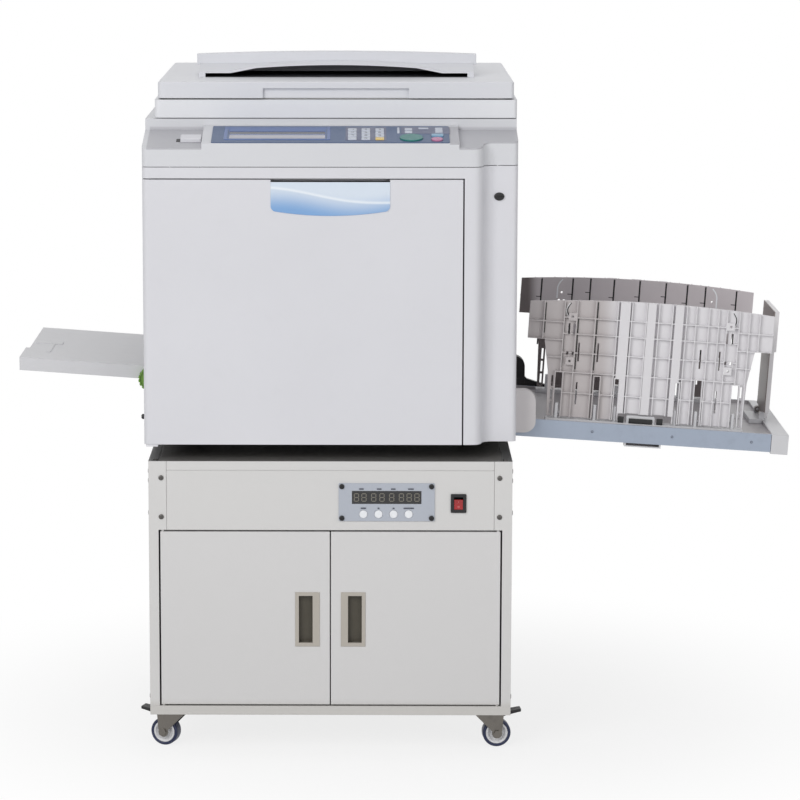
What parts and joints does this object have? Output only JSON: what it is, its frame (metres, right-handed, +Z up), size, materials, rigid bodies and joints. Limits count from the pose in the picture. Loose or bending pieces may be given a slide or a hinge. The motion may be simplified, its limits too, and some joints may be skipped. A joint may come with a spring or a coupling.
{
  "type": "digital duplicator on a wheeled cabinet",
  "caption": "Office stencil duplicator with a flatbed scanner, side feed and delivery trays with folding guides, on a two-door steel cabinet with castors.",
  "frame": {"origin": "on the floor, under the middle of the whole object with both trays", "axes": "+Z up, the front with the doors and the control panel faces -Y, the delivery tray is at +X"},
  "size_m": [1.363, 0.665, 1.2179],
  "materials": {
    "cabinet_white": "satin powder coat",
    "cabinet_dark": "satin",
    "body_white": "fine grain",
    "top_white": "fine grain",
    "panel_blue": "satin",
    "screen": "gloss",
    "glass": "clear",
    "pad_white": "matte",
    "key_green": "gloss",
    "key_cyan": "gloss",
    "key_pink": "gloss",
    "button_white": "gloss",
    "rocker_red": "gloss",
    "black_plastic": "satin",
    "tray_grey": "satin",
    "arm_beige": "satin",
    "steel_strip": "satin",
    "counter_metal": "brushed",
    "steel": "satin",
    "drum_steel": "fine screen",
    "roller_rubber": "matte",
    "knob_green": "gloss",
    "wheel": "satin",
    "zinc": "satin",
    "plaque": "gloss"
  },
  "bodies": {
    "cabinet": {"cabinet_shell": "cabinet_white", "cabinet_floor": "cabinet_white", "cabinet_top": "cabinet_dark", "cabinet_front_panel": "cabinet_white", "cabinet_screws": "steel", "counter_plate": "counter_metal", "counter_display": "black_plastic", "switch_bezel": "black_plastic", "castor_mounts": "zinc", "machine_frame": "cabinet_dark", "left_cover": "body_white", "right_cover": "body_white", "rear_cover": "body_white", "front_frame": "body_white", "top_cover": "top_white", "control_panel": "panel_blue", "lcd_screen": "screen", "drum_carriage": "black_plastic", "delivery_arms": "arm_beige", "delivery_tray": "tray_grey", "delivery_rails": "steel_strip"},
    "front_door": {"front_door": "body_white", "door_plaque": "plaque"},
    "cabinet_door_left": {"cabinet_door_left": "cabinet_white", "cabinet_pull_left": "arm_beige"},
    "cabinet_door_right": {"cabinet_door_right": "cabinet_white", "cabinet_pull_right": "arm_beige"},
    "power_rocker": {"power_rocker": "rocker_red"},
    "counter_button_1": {"counter_button_1": "button_white"},
    "counter_button_2": {"counter_button_2": "button_white"},
    "counter_button_3": {"counter_button_3": "button_white"},
    "counter_button_4": {"counter_button_4": "button_white"},
    "start_key": {"start_key": "key_green"},
    "proof_key": {"proof_key": "key_cyan"},
    "stop_key": {"stop_key": "key_pink"},
    "release_lever": {"release_lever": "body_white"},
    "scanner": {"scanner_housing": "top_white", "platen_glass": "glass"},
    "platen_cover": {"platen_cover": "top_white", "platen_pad": "pad_white", "cover_pocket": "top_white"},
    "drum": {"drum_screen": "drum_steel"},
    "pressure_cylinder": {"pressure_cylinder": "roller_rubber"},
    "feed_tray": {"feed_tray": "tray_grey"},
    "pickup_roller": {"pickup_roller": "roller_rubber"},
    "side_shift_knob": {"side_shift_knob": "knob_green"},
    "front_guide_carriage": {"front_guide_carriage": "tray_grey"},
    "front_guide": {"front_guide": "tray_grey"},
    "rear_guide_carriage": {"rear_guide_carriage": "tray_grey"},
    "rear_guide": {"rear_guide": "tray_grey"},
    "end_plate_carriage": {"end_plate_carriage": "tray_grey"},
    "end_plate": {"end_plate": "tray_grey"},
    "castor_fork_front_left": {"castor_fork_front_left": "zinc"},
    "castor_fork_front_right": {"castor_fork_front_right": "zinc"},
    "castor_pedal_front_left": {"castor_pedal_front_left": "zinc"},
    "castor_pedal_front_right": {"castor_pedal_front_right": "zinc"},
    "castor_wheel_front_left": {"castor_wheel_front_left": "wheel"},
    "castor_wheel_front_right": {"castor_wheel_front_right": "wheel"},
    "castor_wheel_rear_left": {"castor_wheel_rear_left": "wheel"},
    "castor_wheel_rear_right": {"castor_wheel_rear_right": "wheel"}
  },
  "joints": [
    {"name": "front_door_hinge", "type": "hinge", "parent": "cabinet", "child": "front_door", "pos_m": [-0.442, -0.3135, 0.785], "axis": [0, 0, -1], "range_deg": [0, 100]},
    {"name": "cabinet_door_left_hinge", "type": "hinge", "parent": "cabinet", "child": "cabinet_door_left", "pos_m": [-0.423, -0.323, 0.246], "axis": [0, 0, -1], "range_deg": [0, 105]},
    {"name": "cabinet_door_right_hinge", "type": "hinge", "parent": "cabinet", "child": "cabinet_door_right", "pos_m": [0.162, -0.323, 0.246], "axis": [0, 0, 1], "range_deg": [0, 105]},
    {"name": "power_rocker_pivot", "type": "hinge", "parent": "cabinet", "child": "power_rocker", "pos_m": [0.0925, -0.3195, 0.452], "axis": [-1, 0, 0], "range_deg": [0, 16]},
    {"name": "counter_button_1_press", "type": "slide", "parent": "cabinet", "child": "counter_button_1", "axis": [0, 1, 0], "range_m": [0, 0.002], "stiffness_N_per_m": 300},
    {"name": "counter_button_2_press", "type": "slide", "parent": "cabinet", "child": "counter_button_2", "axis": [0, 1, 0], "range_m": [0, 0.002], "stiffness_N_per_m": 300},
    {"name": "counter_button_3_press", "type": "slide", "parent": "cabinet", "child": "counter_button_3", "axis": [0, 1, 0], "range_m": [0, 0.002], "stiffness_N_per_m": 300},
    {"name": "counter_button_4_press", "type": "slide", "parent": "cabinet", "child": "counter_button_4", "axis": [0, 1, 0], "range_m": [0, 0.002], "stiffness_N_per_m": 300},
    {"name": "start_key_press", "type": "slide", "parent": "cabinet", "child": "start_key", "axis": [0, 0.2047, -0.9788], "range_m": [0, 0.002], "stiffness_N_per_m": 300},
    {"name": "proof_key_press", "type": "slide", "parent": "cabinet", "child": "proof_key", "axis": [0, 0.2047, -0.9788], "range_m": [0, 0.002], "stiffness_N_per_m": 300},
    {"name": "stop_key_press", "type": "slide", "parent": "cabinet", "child": "stop_key", "axis": [0, 0.2047, -0.9788], "range_m": [0, 0.002], "stiffness_N_per_m": 300},
    {"name": "release_lever_slide", "type": "slide", "parent": "cabinet", "child": "release_lever", "axis": [-1, 0, 0], "range_m": [0, 0.01], "stiffness_N_per_m": 300},
    {"name": "scanner_slide", "type": "slide", "parent": "cabinet", "child": "scanner", "axis": [-1, 0, 0], "range_m": [0, 0.2]},
    {"name": "platen_cover_hinge", "type": "hinge", "parent": "scanner", "child": "platen_cover", "pos_m": [-0.122, 0.3225, 1.151], "axis": [-1, 0, 0], "range_deg": [0, 70]},
    {"name": "drum_turn", "type": "hinge", "parent": "cabinet", "child": "drum", "pos_m": [-0.1205, 0.001, 0.88], "axis": [0, 1, 0], "continuous": true},
    {"name": "pressure_cylinder_turn", "type": "hinge", "parent": "cabinet", "child": "pressure_cylinder", "pos_m": [-0.1205, 0.001, 0.7495], "axis": [0, 1, 0], "continuous": true},
    {"name": "feed_tray_lift", "type": "slide", "parent": "cabinet", "child": "feed_tray", "axis": [0, 0, 1], "range_m": [0, 0.105]},
    {"name": "pickup_roller_turn", "type": "hinge", "parent": "cabinet", "child": "pickup_roller", "pos_m": [-0.3945, 0.001, 0.79], "axis": [0, 1, 0], "continuous": true},
    {"name": "side_shift_knob_turn", "type": "hinge", "parent": "feed_tray", "child": "side_shift_knob", "pos_m": [-0.4495, -0.2058, 0.652], "axis": [0, 1, 0], "continuous": true},
    {"name": "front_guide_slide", "type": "slide", "parent": "cabinet", "child": "front_guide_carriage", "axis": [0, -1, 0], "range_m": [-0.068, 0]},
    {"name": "front_guide_fold", "type": "hinge", "parent": "front_guide_carriage", "child": "front_guide", "pos_m": [0.42616, -0.1605, 0.57544], "axis": [-0.9979, 0, 0.0645], "range_deg": [0, 90]},
    {"name": "rear_guide_slide", "type": "slide", "parent": "cabinet", "child": "rear_guide_carriage", "axis": [0, 1, 0], "range_m": [-0.068, 0]},
    {"name": "rear_guide_fold", "type": "hinge", "parent": "rear_guide_carriage", "child": "rear_guide", "pos_m": [0.42616, 0.1625, 0.57544], "axis": [0.9979, 0, -0.0645], "range_deg": [0, 82]},
    {"name": "end_plate_slide", "type": "slide", "parent": "cabinet", "child": "end_plate_carriage", "axis": [0.9979, 0, -0.0645], "range_m": [-0.2, 0]},
    {"name": "end_plate_fold", "type": "hinge", "parent": "end_plate_carriage", "child": "end_plate", "pos_m": [0.65021, 0.001, 0.56095], "axis": [0, 1, 0], "range_deg": [-90, 0]},
    {"name": "castor_swivel_front_left", "type": "hinge", "parent": "cabinet", "child": "castor_fork_front_left", "pos_m": [-0.402, -0.2575, 0.0627], "axis": [0, 0, 1], "continuous": true},
    {"name": "castor_pedal_front_left_press", "type": "hinge", "parent": "castor_fork_front_left", "child": "castor_pedal_front_left", "pos_m": [-0.42958, -0.24854, 0.0575], "axis": [-0.309, -0.9511, 0], "range_deg": [0, 15]},
    {"name": "castor_wheel_front_left_turn", "type": "hinge", "parent": "castor_fork_front_left", "child": "castor_wheel_front_left", "pos_m": [-0.42387, -0.25039, 0.025], "axis": [0.309, 0.9511, 0], "continuous": true},
    {"name": "castor_swivel_front_right", "type": "hinge", "parent": "cabinet", "child": "castor_fork_front_right", "pos_m": [0.141, -0.2575, 0.0627], "axis": [0, 0, 1], "continuous": true},
    {"name": "castor_pedal_front_right_press", "type": "hinge", "parent": "castor_fork_front_right", "child": "castor_pedal_front_right", "pos_m": [0.16989, -0.25497, 0.0575], "axis": [-0.0872, 0.9962, 0], "range_deg": [0, 15]},
    {"name": "castor_wheel_front_right_turn", "type": "hinge", "parent": "castor_fork_front_right", "child": "castor_wheel_front_right", "pos_m": [0.16391, -0.2555, 0.025], "axis": [0.0872, -0.9962, 0], "continuous": true},
    {"name": "castor_wheel_rear_left_turn", "type": "hinge", "parent": "cabinet", "child": "castor_wheel_rear_left", "pos_m": [-0.425, 0.2025, 0.025], "axis": [0, 1, 0], "continuous": true},
    {"name": "castor_wheel_rear_right_turn", "type": "hinge", "parent": "cabinet", "child": "castor_wheel_rear_right", "pos_m": [0.164, 0.2025, 0.025], "axis": [0, -1, 0], "continuous": true}
  ],
  "couplings": [
    {"joint": "pressure_cylinder_turn", "follows": "drum_turn", "ratio": -2.25},
    {"joint": "rear_guide_slide", "follows": "front_guide_slide", "ratio": 1}
  ]
}
